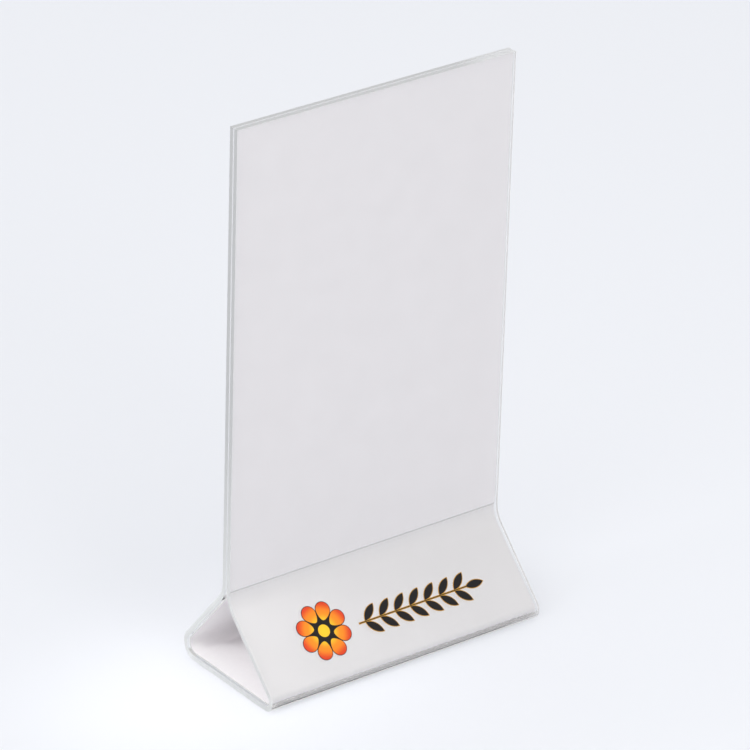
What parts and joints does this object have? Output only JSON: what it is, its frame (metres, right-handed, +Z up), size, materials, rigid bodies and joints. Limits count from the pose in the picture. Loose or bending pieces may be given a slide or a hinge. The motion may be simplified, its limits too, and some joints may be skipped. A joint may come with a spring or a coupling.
{
  "type": "table number holder",
  "caption": "Clear acrylic table number holder: one folded sheet with two upright leaves over a triangular base, holding a blank card, with a white liner and a floral print.",
  "frame": {"origin": "on the table, under the middle of the base", "axes": "+X along the width, -Y out of the printed front, +Z up"},
  "size_m": [0.1026, 0.0456, 0.184],
  "materials": {
    "clear_acrylic": "clear, polished",
    "card_paper": "matte",
    "liner_board": "matte",
    "flower_ink": "satin",
    "sprig_ink": "satin"
  },
  "bodies": {
    "holder": {"folded_holder": "clear_acrylic", "flower_print": "flower_ink", "sprig_print": "sprig_ink"},
    "card": {"number_card": "card_paper"},
    "liner": {"base_liner": "liner_board"}
  },
  "joints": [
    {"name": "card_slide", "type": "slide", "parent": "holder", "child": "card", "axis": [0, 0, 1], "range_m": [0, 0.1526]},
    {"name": "liner_slide", "type": "slide", "parent": "holder", "child": "liner", "axis": [1, 0, 0], "range_m": [-0.1018, 0.1018]}
  ]
}
